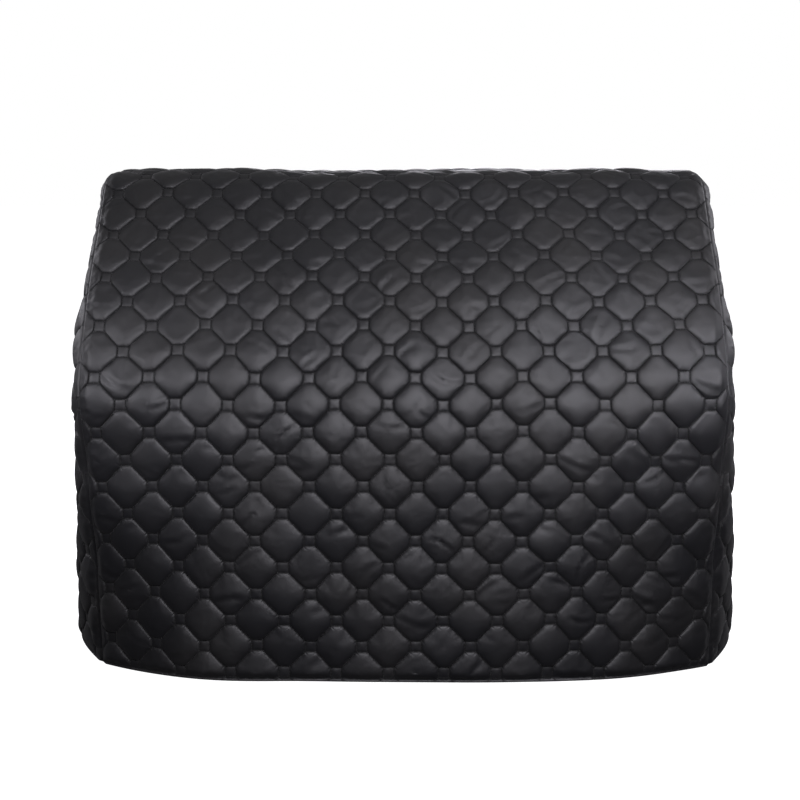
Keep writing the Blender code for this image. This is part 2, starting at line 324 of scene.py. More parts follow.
def cell_corners():
    """The eight corners of a pillow, turning left, about its centre."""
    half = SQUARE_SIDE / 2
    wide = PITCH_ACROSS / 2 - half
    tall = PITCH_ALONG / 2 - half
    quarter = [(wide, -half), (wide, half), (half, tall), (-half, tall)]
    return np.array(quarter + [(-x, -y) for x, y in quarter])


def square_corners():
    """The four corners of a stitched square, turning left, about its centre."""
    half = SQUARE_SIDE / 2
    return np.array([(half, -half), (half, half), (-half, half), (-half, -half)])


def divided(corners, step):
    """Points along a closed outline, with every corner kept."""
    points = []
    for start, end in zip(corners, np.roll(corners, -1, axis=0)):
        count = max(round(float(np.linalg.norm(end - start)) / step), 1)
        points += [start + (end - start) * index / count for index in range(count)]
    return np.array(points)


def line_distances(points, corners):
    """How far each point lies inside each side of an outline that turns left."""
    run = np.roll(corners, -1, axis=0) - corners
    inward = unit(np.stack([-run[:, 1], run[:, 0]], axis=1))
    return ((points[:, None, :] - corners[None, :, :]) * inward[None, :, :]).sum(axis=2)


def joined_distance(points, corners):
    """One distance from all the sides, of which the nearest counts most."""
    distances = np.maximum(line_distances(points, corners), TINY)
    return (distances ** -NEAREST_POWER).sum(axis=1) ** (-1 / NEAREST_POWER)


print("corners of a pillow:", len(cell_corners()), "and of a square:", len(square_corners()))

# %% Cutting a cell into triangles
FINE_RINGS = (0.0019, 0.0052, 0.0100, 0.0160, 0.0220, 0.0285, 0.0355, 0.0430)
PLAIN_RINGS = (0.008, 0.020, 0.036)
SQUARE_RINGS = (0.0025, 0.0065)
RING_SHAPE = 1.1
CENTRE = np.zeros((1, 2))
ON_LINE = 1e-5
CELL_MERGING = 1e-6
# What delaunay_2d_cdt keeps: all of the triangles, or those inside the loop.
WHOLE, INSIDE = 0, 1


def triangulated(points, count, kept, merging):
    """Triangles between points, of which the first, up to count, are a closed loop that stays an edge."""
    loop = [(index, (index + 1) % count) for index in range(count)]
    result = delaunay_2d_cdt([Vector(point) for point in points], loop, [], kept, merging)
    faces = [face for face in result[2] if len(face) == 3]
    return np.array([tuple(point) for point in result[0]]), np.array(faces)


class Cell:
    """A cell's points about its centre, its triangles, and how far each point has risen."""

    def __init__(self, corners, rings):
        outline = divided(corners, BOUNDARY_STEP)
        inner = line_distances(CENTRE, corners).min()
        points = [outline]
        previous = 0.0
        for ring in rings:
            step = max(BOUNDARY_STEP, RING_SHAPE * (ring - previous))
            points.append(divided(corners * (1 - ring / inner), step))
            previous = ring
        points.append(CENTRE)
        self.points, self.faces = triangulated(np.vstack(points), len(outline), INSIDE, CELL_MERGING)
        self.rise = joined_distance(self.points, corners) / joined_distance(CENTRE, corners)
        self.rise[line_distances(self.points, corners).min(axis=1) < ON_LINE] = 0.0


FINE_CELL = Cell(cell_corners(), FINE_RINGS)
PLAIN_CELL = Cell(cell_corners(), PLAIN_RINGS)
SQUARE_CELL = Cell(square_corners(), SQUARE_RINGS)
print("triangles in a pillow:", len(FINE_CELL.faces), "and on the back:", len(PLAIN_CELL.faces))
print("triangles in a square:", len(SQUARE_CELL.faces))

# %% [markdown]
# ## Uneven cloth
#
# Machine quilting is regular, but the cloth isn't. Every pillow is filled a little differently, leans
# to one side, hangs fuller below its middle, and carries a crease or two that runs from one stitched
# square towards another. The choice for each pillow is drawn from a generator with a fixed seed, so
# that the cover comes out the same each time.

# %% Slow unevenness
RIPPLE_WAVES = 7
RIPPLE_LENGTHS = (0.7, 1.5)


def ripple(x, y, wavelength, seed):
    """Smooth unevenness, mostly between -1 and 1, from a few waves that run every way."""
    draw = np.random.default_rng(seed)
    total = np.zeros_like(x)
    for _ in range(RIPPLE_WAVES):
        angle = draw.uniform(0, math.pi)
        length = wavelength * draw.uniform(*RIPPLE_LENGTHS)
        phase = draw.uniform(0, 2 * math.pi)
        total += np.sin(2 * math.pi * (x * math.cos(angle) + y * math.sin(angle)) / length + phase)
    return total / (RIPPLE_WAVES / 2)


places = np.linspace(0.0, 1.0, 500)
uneven = ripple(places, places, 0.1, 0)
print("a ripple runs from", round(float(uneven.min()), 2), "to", round(float(uneven.max()), 2))

# %% Height of one pillow's points
FILLINGS = (0.82, 1.16)
DOME_POWERS = (0.38, 0.50)
LEAN_ACROSS = 0.10
LEAN_ALONG = 0.08
SETTLED_LEAN = 0.20
CREASES_EACH = 3
CREASE_DEPTH = 0.0032
CREASE_RARITY = 6
CREASE_TURN = 0.55
CREASE_BEND = 0.35
# Widths, lengths and places of creases are shares of half the pitch.
CREASE_WIDTHS = (0.06, 0.14)
CREASE_LENGTHS = (0.35, 0.9)
CREASE_PLACES = (-0.6, 0.6)
CREASE_OFFSETS = (-0.5, 0.5)
CREASE_RIDGE = 0.45
RIDGE_PLACE = 1.8
CREASE_ONSET = 3


def crease(x, y, draw, shape):
    """Depth of one crease on each pillow: a bent trough with a low ridge beside it."""
    angle = draw.normal(0.0, CREASE_TURN, shape)
    offset = draw.uniform(*CREASE_OFFSETS, shape)
    bend = draw.normal(0.0, CREASE_BEND, shape)
    depth = draw.uniform(0.0, 1.0, shape) ** CREASE_RARITY * CREASE_DEPTH
    width = draw.uniform(*CREASE_WIDTHS, shape)
    middle = draw.uniform(*CREASE_PLACES, shape)
    length = draw.uniform(*CREASE_LENGTHS, shape)
    along = x * np.cos(angle) + y * np.sin(angle)
    across = y * np.cos(angle) - x * np.sin(angle) - offset - bend * along ** 2
    window = np.exp(-((along - middle) / length) ** 4)
    ridge = CREASE_RIDGE * np.exp(-((across - RIDGE_PLACE * width) / width) ** 2)
    return depth * (np.exp(-(across / width) ** 2) - ridge) * window


def pillow_heights(places, rises, crowns, seed, creases):
    """Heights of every point of each pillow, one row for each of the crowns."""
    draw = np.random.default_rng(seed)
    x, y = (places / (PITCH_ACROSS / 2)).T
    shape = (len(crowns), 1)
    fill = crowns[:, None] * draw.uniform(*FILLINGS, shape)
    lean_x = draw.normal(0.0, LEAN_ACROSS, shape)
    lean_y = draw.normal(-SETTLED_LEAN, LEAN_ALONG, shape)
    dome = rises[None, :] ** draw.uniform(*DOME_POWERS, shape)
    heights = fill * dome * (1 + lean_x * x + lean_y * y)
    for _ in range(creases):
        heights -= crease(x, y, draw, shape) * np.minimum(rises[None, :] * CREASE_ONSET, 1.0)
    return heights


print("a pillow on the strip stands", round(FILLINGS[0] * CELL_CROWN, 4), "to",
      round(FILLINGS[1] * CELL_CROWN, 4), "m high, with creases up to", CREASE_DEPTH, "m deep")

# %% [markdown]
# ## Laying out a piece
#
# A piece starts as more pattern than it needs. Copies of the pillow and of the square are set side by
# side, their shared points are merged, and the sheet is then trimmed near the outline, as a cutter trims
# quilted cloth from a roll. Trimming by distance works for any outline: a triangle that crosses the
# line is split where the distance passes the margin.

# %% Setting out the pattern
def copies(cell, centres):
    """Points and triangles of a cell at every centre."""
    points = (centres[:, None, :] + cell.points[None, :, :]).reshape(-1, 2)
    step = len(cell.points) * np.arange(len(centres))
    faces = (cell.faces[None, :, :] + step[:, None, None]).reshape(-1, 3)
    return points, faces


def square_centres(low, high, shift, first_row):
    """Centres of the stitched squares over a region, in staggered rows."""
    lowest = math.floor((low[1] - first_row) / ROW_STEP) - 1
    highest = math.ceil((high[1] - first_row) / ROW_STEP) + 2
    centres = []
    for row in range(lowest, highest + 1):
        y = first_row + row * ROW_STEP
        start = shift + (PITCH_ACROSS / 2 if row % 2 else 0.0)
        first = math.floor((low[0] - start) / PITCH_ACROSS) - 1
        last = math.ceil((high[0] - start) / PITCH_ACROSS) + 1
        centres += [(start + column * PITCH_ACROSS, y) for column in range(first, last + 1)]
    return np.array(centres)


half_width = STRIP_WIDTH / 2
squares = square_centres((-half_width, 0.0), (half_width, STRIP_LENGTH), LATTICE_SHIFT, FIRST_ROW)
print("squares set out for the strip:", len(squares))

# %% Joining the copies
# Points that fall in one small box are one point; the offset keeps the pattern off the boxes' walls.
MERGE_STEP = 1e-5
MERGE_OFFSET = 0.137


def set_out(low, high, shift, first_row, fine_up_to, crown_at, seed):
    """The whole pattern over a region: flat points, heights over the stitches, and triangles."""
    squares = square_centres(low, high, shift, first_row)
    pillows = squares + (PITCH_ACROSS / 2, 0.0)
    fine = pillows[:, 1] < fine_up_to
    parts = [
        (FINE_CELL, pillows[fine], crown_at(pillows[fine]), CREASES_EACH),
        (PLAIN_CELL, pillows[~fine], crown_at(pillows[~fine]), 0),
        (SQUARE_CELL, squares, np.full(len(squares), SQUARE_CROWN), 0),
    ]
    points, faces, heights = [], [], []
    first = 0
    for number, (cell, centres, crowns, creases) in enumerate(parts):
        if not len(centres):
            continue
        cell_points, cell_faces = copies(cell, centres)
        points.append(cell_points)
        faces.append(cell_faces + first)
        raised = pillow_heights(cell.points, cell.rise, crowns, seed + number, creases)
        heights.append(raised.reshape(-1))
        first += len(cell_points)
    points, faces, heights = np.vstack(points), np.vstack(faces), np.concatenate(heights)
    keys = np.floor(points / MERGE_STEP + MERGE_OFFSET).astype(np.int64)
    _, kept, merged = np.unique(keys, axis=0, return_index=True, return_inverse=True)
    return points[kept], heights[kept], merged.reshape(-1)[faces]


# %% Distance to an outline
def nearest_on_outline(points, outline):
    """For each point: distance inside the outline (negative outside), nearest place and distance round."""
    run = np.roll(outline, -1, axis=0) - outline
    lengths = np.linalg.norm(run, axis=1)
    rounds = np.concatenate([[0.0], np.cumsum(lengths)[:-1]])
    best = np.full(len(points), np.inf)
    place = np.zeros((len(points), 2))
    travelled = np.zeros(len(points))
    crossings = np.zeros(len(points), dtype=int)
    for origin, step, length, before in zip(outline, run, lengths, rounds):
        if length < TINY:
            continue
        share = np.clip(((points - origin) @ step) / length ** 2, 0.0, 1.0)
        spot = origin + share[:, None] * step
        away = np.linalg.norm(points - spot, axis=1)
        closer = away < best
        best[closer] = away[closer]
        place[closer] = spot[closer]
        travelled[closer] = before + share[closer] * length
        end = origin + step
        spans = (origin[1] > points[:, 1]) != (end[1] > points[:, 1])
        if step[1] != 0:
            crossing_x = origin[0] + (points[:, 1] - origin[1]) * step[0] / step[1]
            crossings += spans & (points[:, 0] < crossing_x)
    return np.where(crossings % 2 == 1, best, -best), place, travelled


inside, _, _ = nearest_on_outline(CENTRE, cell_corners())
print("a pillow's centre lies", inside.round(4), "m inside its stitches")

# %% Trimming a sheet of triangles
def trimmed(columns, faces, distance):
    """Keeps what lies at positive distance; a triangle that crosses zero is split there."""
    side = np.sign(distance).astype(int)
    lowest, highest = side[faces].min(axis=1), side[faces].max(axis=1)
    extra, known, split = [], {}, []

    def cut(a, b):
        key = (min(a, b), max(a, b))
        if key not in known:
            share = distance[key[0]] / (distance[key[0]] - distance[key[1]])
            known[key] = len(columns) + len(extra)
            extra.append(columns[key[0]] + (columns[key[1]] - columns[key[0]]) * share)
        return known[key]

    for face in faces[(lowest < 0) & (highest > 0)].tolist():
        corners = []
        for a, b in zip(face, face[1:] + face[:1]):
            if side[a] >= 0:
                corners.append(a)
            if side[a] * side[b] < 0:
                corners.append(cut(a, b))
        split += [(corners[0], b, c) for b, c in zip(corners[1:], corners[2:])]
    faces = np.vstack([faces[(lowest >= 0) & (highest > 0)], np.array(split)])
    used, faces = np.unique(faces, return_inverse=True)
    return np.vstack([columns, np.array(extra)])[used], faces.reshape(-1, 3)


beyond = FINE_CELL.points[:, 0] - SQUARE_SIDE
print("triangles of a pillow beyond a cut:", len(trimmed(FINE_CELL.points, FINE_CELL.faces, beyond)[1]))

# %% Corners and the loop round a sheet
SHARP_TURN = math.radians(60)


def sharp_corners(outline):
    """Points where an outline turns sharply, as it does where a hem meets a seam."""
    before = unit(outline - np.roll(outline, 1, axis=0))
    after = unit(np.roll(outline, -1, axis=0) - outline)
    return outline[(before * after).sum(axis=1) < math.cos(SHARP_TURN)]


def boundary_loop(faces):
    """The corners round the outside of a set of triangles, in order."""
    starts = faces.reshape(-1)
    ends = np.roll(faces, -1, axis=1).reshape(-1)
    sides = set(zip(starts.tolist(), ends.tolist()))
    following = {start: end for start, end in sides if (end, start) not in sides}
    first = min(following)
    loop = [first]
    while following[loop[-1]] != first:
        loop.append(following[loop[-1]])
    if len(loop) != len(following):
        raise ValueError("the sheet has more than one edge")
    return np.array(loop)


print("points round a pillow:", len(boundary_loop(FINE_CELL.faces)))

# %% [markdown]
# ## Edges
#
# Two kinds of edge bound each piece. The hem is the cloth turned up once in a narrow fold and stitched:
# a bead with a groove above it. At a seam both pieces turn inwards, which leaves a valley that the
# stitches draw into small puckers. Both are rows of points that follow the outline, so they stay even
# where the pattern's own triangles don't.

# %% Profiles of hem and seam
BAND_WIDTH = 0.006
SNAP_REACH = 0.0016
BAND_ROWS = (0.0045, 0.0030, 0.0015, 0.0)
PROFILE_PLACES = (0.0, 0.0015, 0.0030, 0.0045, 0.0060, 0.0090, 0.0140)
HEM_PROFILE = (0.0004, 0.0026, 0.0031, 0.0026, 0.0008, 0.0022, CLOTH_THICKNESS)
SEAM_PROFILE = (-0.0070, -0.0028, -0.0002, 0.0012, 0.0020, 0.0024, CLOTH_THICKNESS)


def edge_heights(distance, hem):
    """Heights beside the edge, where hem says which points belong to a hem."""
    return np.where(
        hem,
        np.interp(distance, PROFILE_PLACES, HEM_PROFILE),
        np.interp(distance, PROFILE_PLACES, SEAM_PROFILE),
    )


print("the hem's bead stands", max(HEM_PROFILE[:-1]), "m high and a seam lies", -SEAM_PROFILE[0], "m deep")

# %% Puckers along an edge
PUCKER_HEIGHT = 0.0017
PUCKER_LENGTH = 0.027
PUCKER_REACH = 0.020
HEM_PUCKERS = 0.35
# Waves that push the puckers along (size in radians, length, phase), and one that makes them vary.
PUCKER_DRIFTS = ((1.7, 0.11, 0.0), (1.1, 0.043, 1.0))
PUCKER_VARIES = (0.45, 0.19, 0.6)


def puckers(distance, travelled, hem):
    """Small ridges that run into a seam; the hem has them at a third of the height."""
    drift = sum(size * np.sin(travelled / length + phase) for size, length, phase in PUCKER_DRIFTS)
    ridges = np.sin(2 * math.pi * travelled / PUCKER_LENGTH + drift)
    size, length, phase = PUCKER_VARIES
    strength = 1 - size + size * np.sin(travelled / length + phase)
    heights = PUCKER_HEIGHT * ridges * strength * np.exp(-(distance / PUCKER_REACH) ** 2)
    return heights * np.where(hem, HEM_PUCKERS, 1.0)


print("puckers along a side's outline:", round(float(STRIP_LENGTH / PUCKER_LENGTH)))

# %% [markdown]
# ## Pillows that swell
#
# Filling pushes the cloth out between its stitches, and neighbouring pillows crowd each other. The
# heights drawn above give each pillow its form, and could be all. Here Blender's Cloth then swells each
# piece under light pressure for a few frames, with all stitched lines held, which loosens the drawn
# forms. Only a part of the move is kept, because a full one would pull the small squares out of shape.

# %% Adding an object and reading a mesh
def added(name, data):
    """A new object in the scene; a piece's stays at the origin, so its mesh holds its place."""
    thing = bpy.data.objects.new(name, data)
    bpy.context.collection.objects.link(thing)
    return thing


def read(items, attribute, kind, each):
    """One attribute of all the items of a mesh, as rows of numbers."""
    values = np.empty(each * len(items), dtype=kind)
    items.foreach_get(attribute, values)
    return values.reshape(-1, each)


# %% Letting the pillows swell
SWELL_FRAMES = 10
MOST_MOVED = 0.003
SWELL_SHARE = 0.55
GRAVITY_SHARE = 0.3
FILLED_CLOTH = {
    "quality": 5,
    "mass": 0.15,
    "tension_stiffness": 12,
    "compression_stiffness": 12,
    "shear_stiffness": 4,
    "bending_stiffness": 0.15,
    "shrink_min": -0.012,
    "use_pressure": True,
    "uniform_pressure_force": 1.0,
    "vertex_group_mass": "stitches",
}


def swollen(points, faces, held):
    """The points of a sheet after its free parts have swelled and creased; held points stay."""
    free = ~held
    used_faces = faces[free[faces].any(axis=1)]
    used, local_faces = np.unique(used_faces, return_inverse=True)
    mesh = bpy.data.meshes.new("swelling")
    mesh.from_pydata(points[used].tolist(), [], local_faces.reshape(-1, 3).tolist())
    sheet = added("swelling", mesh)
    stitches = sheet.vertex_groups.new(name="stitches")
    stitches.add(np.nonzero(held[used])[0].tolist(), 1.0, "REPLACE")
    cloth = sheet.modifiers.new("cloth", "CLOTH")
    for setting, value in FILLED_CLOTH.items():
        setattr(cloth.settings, setting, value)
    cloth.settings.effector_weights.gravity = GRAVITY_SHARE
    cloth.point_cache.frame_end = SWELL_FRAMES
    scene = bpy.context.scene
    for number in range(1, SWELL_FRAMES + 1):
        scene.frame_set(number)
    settled = sheet.evaluated_get(bpy.context.evaluated_depsgraph_get())
    moved = read(settled.data.vertices, "co", float, 3) - points[used]
    length = np.linalg.norm(moved, axis=1, keepdims=True)
    print("swelling moved", len(used), "points by", round(1000 * float(length.mean()), 2),
          "mm on average and", round(1000 * float(length.max()), 2), "mm at most")
    moved *= SWELL_SHARE * MOST_MOVED / np.maximum(length, MOST_MOVED)
    bpy.data.objects.remove(sheet, do_unlink=True)
    bpy.data.meshes.remove(mesh)
    scene.frame_set(1)
    points = points.copy()
    points[used] += moved
    return points


# %% [markdown]
# ## From flat cloth to a closed body
#
# Each piece is given an outer face with its pillows, a plain inner face and a rim between them. The
# quilting is trimmed just inside the outline, rings of points outside it carry the hem or the seam, and
# a last ring closes the piece on its inner face. A closed body has an inside and an outside, so light,
# shadow and any later use of the mesh know which is which. Solidify could add the inner face, but it
# would double a very fine mesh where nobody looks.

# %% The sheet inside its edge band
WARP = 0.0034
WARP_LENGTH = 0.34


def laid_out(outline, origin, settle, fine_up_to, crown_at, seed):
    """Columns (flat place, pattern's place, height) and triangles of the quilting inside the band."""
    low, high = outline.min(axis=0), outline.max(axis=0)
    pattern, heights, faces = set_out(low, high, *origin, fine_up_to, crown_at, seed)
    warps = [WARP * ripple(*pattern.T, WARP_LENGTH, seed + number) for number in (10, 11)]
    flat = np.stack(settle(*pattern.T), axis=1) + np.stack(warps, axis=1)
    distance, place, _ = nearest_on_outline(flat, outline)
    # Points near the band's line are moved onto it, so that trimming leaves no slivers.
    snapped = np.abs(distance - BAND_WIDTH) < SNAP_REACH
    shift = (flat - place) * (BAND_WIDTH / np.maximum(distance, TINY) - 1)[:, None]
    flat = np.where(snapped[:, None], flat + shift, flat)
    margin = np.where(snapped, 0.0, distance - BAND_WIDTH)
    return trimmed(np.column_stack([flat, pattern, heights]), faces, margin)


# %% The inner face
INNER_SPACING = PITCH_ACROSS / 2
INNER_MERGING = 1e-7


def inner_face(ring):
    """Points and triangles of the inner face: the ring and a sparse grid inside it."""
    low, high = ring.min(axis=0), ring.max(axis=0)
    across = np.arange(low[0] + INNER_SPACING / 2, high[0], INNER_SPACING)
    along = np.arange(low[1] + INNER_SPACING / 2, high[1], INNER_SPACING)
    grid = np.stack(np.meshgrid(across, along), axis=-1).reshape(-1, 2)
    depth, _, _ = nearest_on_outline(grid, ring)
    flat = np.vstack([ring, grid[depth > INNER_SPACING / 3]])
    points, faces = triangulated(flat, len(ring), WHOLE, INNER_MERGING)
    middle, _, _ = nearest_on_outline(points[faces].mean(axis=1), ring)
    return points, faces[middle > 0]


print("the inner face has a point every", INNER_SPACING, "m")

# %% A piece that grows outwards
class Growing:
    """A piece's points (flat place, height, pattern's place) and triangles, with its outermost ring."""

    def __init__(self, flat, heights, pattern, faces, ring):
        self.columns = [np.column_stack([flat, heights, pattern])]
        self.faces = [faces]
        self.ring = ring
        self.count = len(flat)

    def add(self, flat, heights, pattern, faces=None):
        """Adds points, of which the first are the next ring, and joins that ring to the last one."""
        following = self.count + np.arange(len(self.ring))
        if faces is not None:
            self.faces.append(faces + self.count)
        inner, inner_next = self.ring, np.roll(self.ring, -1)
        outer, outer_next = following, np.roll(following, -1)
        self.faces.append(np.stack([inner, outer, outer_next], axis=1))
        self.faces.append(np.stack([inner, outer_next, inner_next], axis=1))
        self.columns.append(np.column_stack([flat, heights, pattern]))
        self.ring = following
        self.count += len(flat)

    def result(self):
        """Flat places, heights, the pattern's places and triangles."""
        columns = np.vstack(self.columns)
        return columns[:, :2], columns[:, 2], columns[:, 3:], np.vstack(self.faces)


# %% Hem, seam, rim and inner face
EVEN_EDGE = 0.012
RIM_THICKNESS = 0.0012


def close(piece, flat, pattern, to_edge, hem, lift):
    """Adds the edge's rings, the rim and the inner face to a piece. All values are for its first ring:
    its places, the way from there to the outline, which of it is hem, and its lift over the profile."""
    lift_shares = smooth(np.array(BAND_ROWS) / EVEN_EDGE) / smooth(BAND_WIDTH / EVEN_EDGE)
    for row, share in zip(BAND_ROWS, lift_shares):
        moved = to_edge * (1 - row / BAND_WIDTH)
        heights = edge_heights(np.full(len(hem), row), hem) + lift * share
        piece.add(flat + moved, heights, pattern + moved)
    points, faces = inner_face(flat + moved)
    inner_heights = np.zeros(len(points))
    inner_heights[:len(hem)] = heights - RIM_THICKNESS
    piece.add(points, inner_heights, points, faces[:, ::-1])


print("rings round each piece:", len(BAND_ROWS), "and the rim is", RIM_THICKNESS, "m thick")

# %% The mesh of a piece, and the path of its stitches
THREAD_LIFT = 0.0004


def cloth_mesh(name, points, faces, pattern, on_line):
    """A smooth mesh with sharp stitched lines; its UV map holds the flat pattern's places in metres."""
    mesh = bpy.data.meshes.new(name)
    mesh.from_pydata(points.tolist(), [], faces.tolist())
    mesh.shade_smooth()
    corners = read(mesh.loops, "vertex_index", np.int32, 1)[:, 0]
    mesh.uv_layers.new(name="flat").data.foreach_set("uv", pattern[corners].astype(np.float32).reshape(-1))
    edges = read(mesh.edges, "vertices", np.int32, 2)
    sharp = mesh.attributes.new("sharp_edge", "BOOLEAN", "EDGE")
    sharp.data.foreach_set("value", on_line[edges].all(axis=1))
    print(name, "has", len(mesh.polygons), "triangles")
    return added(name, mesh)


def stitch_path(name, mesh, on_line, hem_line):
    """Edges that the stitches follow: the pattern's lines and the groove over the hem."""
    edges = read(mesh.edges, "vertices", np.int32, 2)
    lines = np.vstack([edges[on_line[edges].all(axis=1)], hem_line])
    used, lines = np.unique(lines, return_inverse=True)
    outward = read(mesh.vertex_normals, "vector", float, 3)
    places = (read(mesh.vertices, "co", float, 3) + outward * THREAD_LIFT)[used]
    path = bpy.data.meshes.new(name)
    path.from_pydata(places.tolist(), lines.reshape(-1, 2).tolist(), [])
    return path


# %% Making one piece of quilted cloth
PUFF_REACH = 0.017
RIPPLE_HEIGHT = 0.0017
RIPPLE_LENGTH = 0.19
HELD_REACH = 0.004
HELD_HEIGHT = 1.2 * SQUARE_CROWN
STITCHED_HEIGHT = 1e-7


def quilted_piece(name, outline, origin, settle, surface, is_hem, fine_up_to, crown_at, seed, mirrored):
    """A closed piece of quilted cloth and its stitches' path; origin is the pattern's shift and first row."""
    columns, quilt_faces = laid_out(outline, origin, settle, fine_up_to, crown_at, seed)
    flat, pattern, rises = columns[:, :2], columns[:, 2:4], columns[:, 4]
    distance, place, travelled = nearest_on_outline(flat, outline)
    hem = is_hem(place)
    loop = boundary_loop(quilt_faces)
    # The ring gets a point at each sharp corner, where the seam begins.
    for corner in sharp_corners(outline):
        nearest = loop[np.linalg.norm(flat[loop] - corner, axis=1).argmin()]
        place[nearest] = corner
        hem[nearest] = False
    heights = rises * smooth((distance - BAND_WIDTH) / PUFF_REACH) + edge_heights(distance, hem)
    uneven = puckers(distance, travelled, hem) + RIPPLE_HEIGHT * ripple(*flat.T, RIPPLE_LENGTH, seed + 12)
    heights += uneven * smooth(distance / EVEN_EDGE)

    piece = Growing(flat, heights, pattern, quilt_faces, loop)
    lift = heights[loop] - edge_heights(distance[loop], hem[loop])
    close(piece, flat[loop], pattern[loop], place[loop] - flat[loop], hem[loop], lift)
    all_flat, all_heights, all_pattern, faces = piece.result()
    points = surface(*all_flat.T, all_heights)
    if mirrored:
        faces, quilt_faces = faces[:, ::-1], quilt_faces[:, ::-1]
    held = (rises <= HELD_HEIGHT) | (distance < BAND_WIDTH + HELD_REACH) | (pattern[:, 1] > fine_up_to)
    points[:len(held)] = swollen(points[:len(held)], quilt_faces, held)

    on_line = np.zeros(len(points), dtype=bool)
    on_line[:len(rises)] = rises < STITCHED_HEIGHT
    made = cloth_mesh(name, points, faces, all_pattern - origin, on_line)
    hem_line = np.stack([loop, np.roll(loop, -1)], axis=1)
    return made, stitch_path(name + "_path", made.data, on_line, hem_line[hem[hem_line].all(axis=1)])


# %% [markdown]
# ## The three pieces
#
# The strip's front, slope and lid front are cut finely, because that is what one looks at; its back
# hangs against a wall and has fewer points in each pillow. The side panels are fine all over.

# %% The strip
strip_outline = np.array([
    (half_width, 0.0), (half_width, STRIP_LENGTH), (-half_width, STRIP_LENGTH), (-half_width, 0.0),
])
FINE_UP_TO = row_place(LID_FRONT_ROW + 1.5)
ON_HEM = 1e-4


def on_strip_hem(place):
    """Both ends of the strip are hems."""
    return (place[:, 1] < ON_HEM) | (place[:, 1] > STRIP_LENGTH - ON_HEM)


def strip_crowns(centres):
    """Pillows are full where the strip hangs free, and pulled flatter over the slope and the lid."""
    after_keybed = smooth((centres[:, 1] - row_place(KEYBED_ROW)) / (2 * ROW_STEP))
    before_back = smooth((BACK_START - centres[:, 1]) / (2 * ROW_STEP))
    return CELL_CROWN * (1 - TAUT_FLATTENING * after_keybed * before_back)


main_panel, main_path = quilted_piece(
    "quilted_strip", strip_outline, (LATTICE_SHIFT, FIRST_ROW), sagging, strip_surface, on_strip_hem,
    fine_up_to=FINE_UP_TO, crown_at=strip_crowns, seed=4, mirrored=False)

# %% The side panels
def as_laid(y, z):
    """The pattern on a side panel lies as it was set out."""
    return y, z


def on_side_hem(place):
    """The bottom of a side panel is its hem."""
    return place[:, 1] < HEM_HEIGHT + ON_HEM


def side_crowns(centres):
    """All pillows of the sides are alike in height."""
    return np.full(len(centres), SIDE_CROWN)


side_panels, side_paths = {}, {}
for side_name, panel, seed in (("side_right", RIGHT, 40), ("side_left", LEFT, 70)):
    side_panels[side_name], side_paths[side_name] = quilted_piece(
        "quilted_" + side_name, panel.outline, (SIDE_LATTICE_SHIFT, HEM_HEIGHT + FIRST_ROW), as_laid,
        panel.surface, on_side_hem, fine_up_to=math.inf, crown_at=side_crowns, seed=seed,
        mirrored=panel.hand < 0)


# %% [markdown]
# ## The cloth's finish
#
# The cover is woven polyester with a soft, satin gloss: nearly black, brighter where a pillow faces the
# light, and dark in the stitched valleys, where shade is also painted into the base colour. The stitched
# lines can be worked out from the flat pattern in the UV map: folding the pattern into one quarter of its
# repeat leaves a square's corner and half a slanting line. A painted image could hold the same lines, but
# it would blur when seen close up.

# %% Helpers for shader groups
VECTOR, FLOAT = "NodeSocketVector", "NodeSocketFloat"
MASK_GAIN = 4.0


def new_group(name, inputs, outputs):
    """A shader node group, what it is given and what it makes; inputs are (label, kind, value)."""
    group = bpy.data.node_groups.new(name, "ShaderNodeTree")
    for label, kind, value in inputs:
        socket = group.interface.new_socket(name=label, in_out="INPUT", socket_type=kind)
        if value is not None:
            socket.default_value = value
    for label in outputs:
        group.interface.new_socket(name=label, in_out="OUTPUT", socket_type="NodeSocketFloat")
    given, made = group.nodes.new("NodeGroupInput"), group.nodes.new("NodeGroupOutput")
    return group, given.outputs, made.inputs


class Maths:
    """Writes Math nodes in a tree from plain calls."""

    def __init__(self, tree):
        self.tree = tree

    def __call__(self, operation, *values, clamp=False):
        node = self.tree.nodes.new("ShaderNodeMath")
        node.operation = operation
        node.use_clamp = clamp
        for socket, value in zip(node.inputs, values):
            if isinstance(value, (int, float)):
                socket.default_value = value
            else:
                self.tree.links.new(value, socket)
        return node.outputs[0]

    def above(self, value, start, gain):
        """How far a value is above a start, times a gain, between 0 and 1."""
        return self("MULTIPLY", self("SUBTRACT", value, start), gain, clamp=True)


